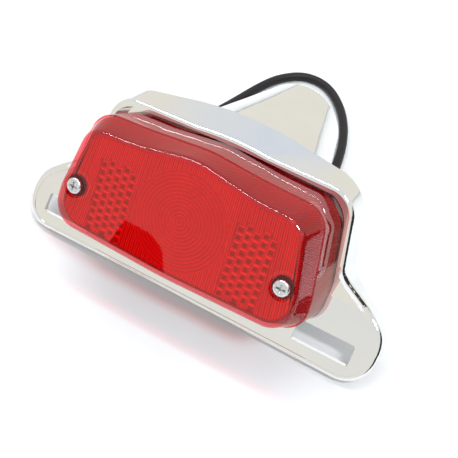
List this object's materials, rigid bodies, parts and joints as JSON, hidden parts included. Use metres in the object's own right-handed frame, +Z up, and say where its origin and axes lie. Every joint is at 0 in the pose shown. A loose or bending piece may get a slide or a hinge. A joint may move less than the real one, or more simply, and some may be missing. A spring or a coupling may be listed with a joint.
{
  "type": "motorcycle tail light",
  "caption": "Chrome motorcycle tail light: ribbed red lens, number plate ears with slots, hollow tapered foot with rubber pad and black cable.",
  "frame": {"origin": "on the table, under the middle of the lamp's box, with the lamp lying on the lower back edge of its ears and the lower edge of its foot", "axes": "+X along the width, to the right as one looks at the lens; +Y away from the lens, towards the foot; +Z up"},
  "size_m": [0.199, 0.2125, 0.0848],
  "materials": {
    "chrome_body": "polished chrome plating on a die-cast body",
    "red_lens": "clear red moulded acrylic, polished",
    "clear_window": "clear moulded acrylic",
    "black_rubber": "matt black rubber",
    "zinc_steel": "bright zinc-plated steel",
    "reflector_steel": "bright pressed reflector plate",
    "brass": "plain brass",
    "fibre_board": "brown fibre insulation",
    "spring_steel": "spring steel",
    "bulb_glass": "clear bulb glass",
    "tungsten": "drawn wire",
    "cable_black": "satin black flexible sleeve",
    "wire_brown": "brown insulation",
    "wire_red": "red insulation",
    "wire_black": "black insulation",
    "plug_clear": "milky soft sleeve"
  },
  "bodies": {
    "root": {"housing": "chrome_body", "lens": "red_lens", "number_plate_window": "clear_window", "lens_gasket": "black_rubber", "bulb_plate": "reflector_steel", "plate_screws": "zinc_steel", "bulb_socket": "zinc_steel", "socket_rivets": "brass", "contact_spring": "spring_steel", "mount_pad": "black_rubber", "cable_grommet": "black_rubber", "tail_wire": "wire_brown", "brake_wire": "wire_red", "ground_wire": "wire_black", "ground_terminal": "brass", "cable_sleeve": "cable_black", "tail_lead": "wire_brown", "brake_lead": "wire_red", "ground_lead": "wire_black", "plug_sleeves": "plug_clear", "bullet_plugs": "brass"},
    "washer_left": {"screw_washer_left": "black_rubber"},
    "washer_right": {"screw_washer_right": "black_rubber"},
    "screw_left": {"lens_screw_left": "zinc_steel"},
    "screw_right": {"lens_screw_right": "zinc_steel"},
    "contacts": {"contact_disc": "fibre_board", "contact_plungers": "brass"},
    "bulb": {"bulb_base": "brass", "bulb_glass": "bulb_glass", "bulb_filaments": "tungsten"}
  },
  "joints": [
    {"name": "left_screw_out", "type": "slide", "parent": "root", "child": "washer_left", "axis": [0, -0.8561, 0.5168], "range_m": [0, 0.0052]},
    {"name": "left_screw_turn", "type": "hinge", "parent": "washer_left", "child": "screw_left", "pos_m": [-0.0535, -0.06434, 0.05607], "axis": [0, -0.8561, 0.5168], "range_deg": [0, 2674]},
    {"name": "right_screw_out", "type": "slide", "parent": "root", "child": "washer_right", "axis": [0, -0.8561, 0.5168], "range_m": [0, 0.0052]},
    {"name": "right_screw_turn", "type": "hinge", "parent": "washer_right", "child": "screw_right", "pos_m": [0.0535, -0.06434, 0.05607], "axis": [0, -0.8561, 0.5168], "range_deg": [0, 2674]},
    {"name": "contact_press", "type": "slide", "parent": "root", "child": "contacts", "axis": [0, 0.8561, -0.5168], "range_m": [0, 0.002], "stiffness_N_per_m": 1500, "springref_m": -0.002, "deforming": ["contact_spring"]},
    {"name": "bulb_turn", "type": "hinge", "parent": "contacts", "child": "bulb", "pos_m": [0, -0.02751, 0.03968], "axis": [0, -0.8561, 0.5168], "range_deg": [0, 20]}
  ],
  "couplings": [
    {"joint": "left_screw_out", "follows": "left_screw_turn", "m_per_rad": 0.00011141},
    {"joint": "right_screw_out", "follows": "right_screw_turn", "m_per_rad": 0.00011141}
  ]
}
